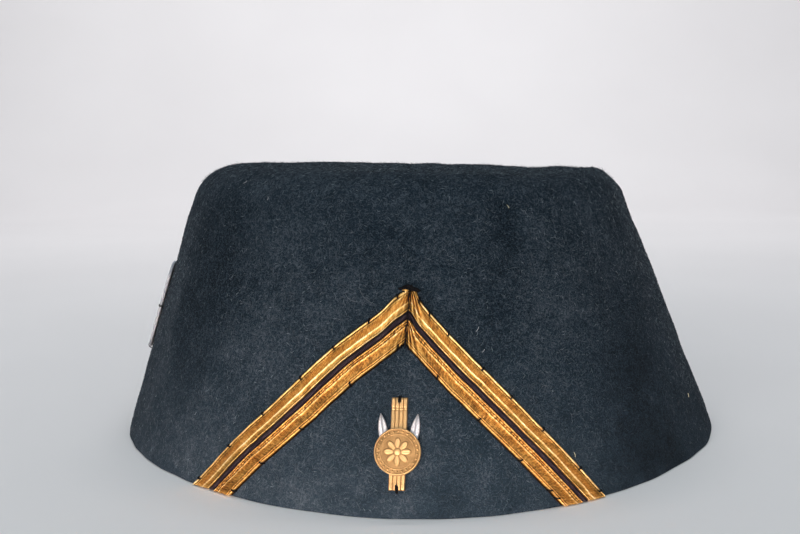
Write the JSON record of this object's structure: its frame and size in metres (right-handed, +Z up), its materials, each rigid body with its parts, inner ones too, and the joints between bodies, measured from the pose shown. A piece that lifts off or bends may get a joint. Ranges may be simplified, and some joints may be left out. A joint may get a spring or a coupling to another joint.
{
  "type": "fez hat",
  "caption": "Tapered felt fez with an oval rim and a rounded flat top, a folded braid chevron and a small metal badge sewn on the front.",
  "frame": {"origin": "on the floor plane that the rim rests on, below the middle of the rim's oval", "axes": "+Z up, -Y the front with the braid and badge, +X the wearer's left"},
  "size_m": [0.172, 0.2, 0.0757],
  "materials": {
    "felt": "dark slate-blue moulded wool felt with a short nap",
    "gold_braid": "ribbed metallic-thread braid, satin",
    "dark_braid": "matt woven stripe, purple black",
    "brass": "stamped, satin, slightly worn",
    "white_metal": "stamped white metal, satin"
  },
  "bodies": {
    "root": {"crown": "felt", "braid_outer": "gold_braid", "braid_stripe": "dark_braid", "braid_inner": "gold_braid", "badge_bar": "brass", "badge_disc": "brass", "badge_leaf_left": "white_metal", "badge_leaf_right": "white_metal", "side_plate": "white_metal"}
  },
  "joints": []
}
